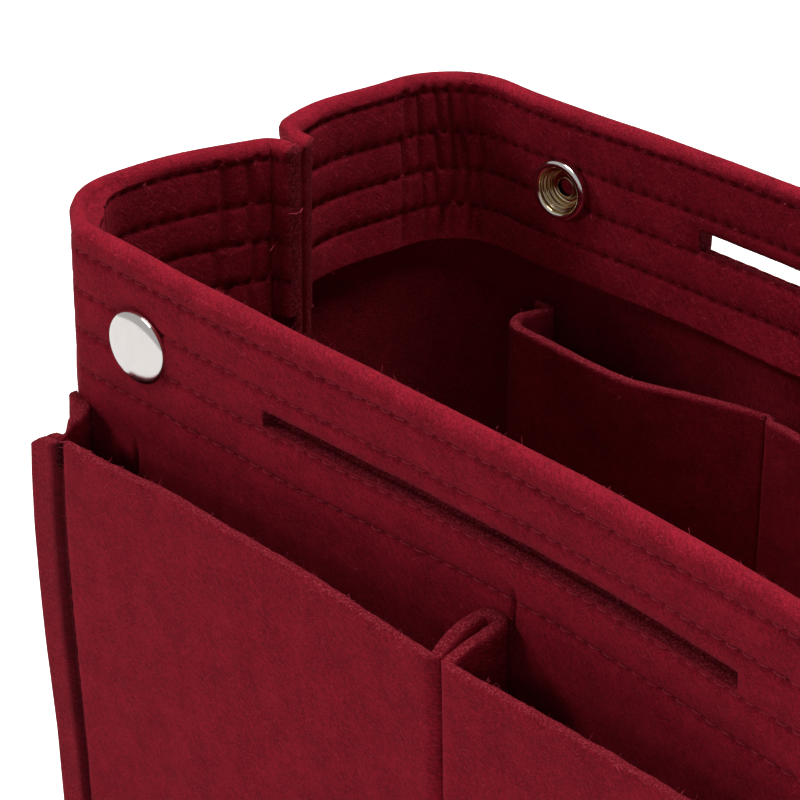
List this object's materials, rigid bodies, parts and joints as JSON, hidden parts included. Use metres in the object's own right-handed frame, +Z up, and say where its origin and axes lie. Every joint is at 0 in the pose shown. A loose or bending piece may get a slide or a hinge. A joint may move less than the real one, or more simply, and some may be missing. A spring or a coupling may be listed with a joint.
{
  "type": "purse organizer insert",
  "caption": "Soft felt insert that sorts a handbag's contents, with a quilted hem rim, pleated outer pockets, sewn inner pockets, strap slots and press studs that draw the walls together",
  "frame": {"origin": "middle of the underside of the base, in the plane that the organizer stands on", "axes": "X along the length, Y from the front wall to the back wall, Z up"},
  "size_m": [0.26, 0.1428, 0.155],
  "materials": {
    "felt": "wine red felt, raw cut edges",
    "inner_felt": "wine red felt, raw cut edges",
    "nickel": "polished nickel plate",
    "spring_wire": "bare wire"
  },
  "bodies": {
    "base_and_ends": {"base_panel": "felt", "base_lining": "inner_felt", "left_front_end": "felt", "right_front_end": "felt", "left_back_end": "felt", "right_back_end": "felt"},
    "front_side": {"front_wall": "felt", "front_outer_pockets": "felt", "front_cap_left": "nickel", "front_cap_right": "nickel", "front_stud_left": "nickel", "front_stud_right": "nickel"},
    "back_side": {"back_wall": "felt", "back_outer_pockets": "felt", "back_inner_pockets": "inner_felt", "back_cap_left": "nickel", "back_cap_right": "nickel", "back_socket_left": "nickel", "back_socket_right": "nickel", "socket_spring_left": "spring_wire", "socket_spring_right": "spring_wire"}
  },
  "joints": [
    {"name": "front_wall_lean", "type": "hinge", "parent": "base_and_ends", "child": "front_side", "pos_m": [0, -0.0568, 0.0047], "axis": [-1, 0, 0], "range_deg": [0, 20], "stiffness_Nm_per_rad": 0.6},
    {"name": "back_wall_lean", "type": "hinge", "parent": "base_and_ends", "child": "back_side", "pos_m": [0, 0.0568, 0.0047], "axis": [1, 0, 0], "range_deg": [0, 20], "stiffness_Nm_per_rad": 0.6}
  ]
}
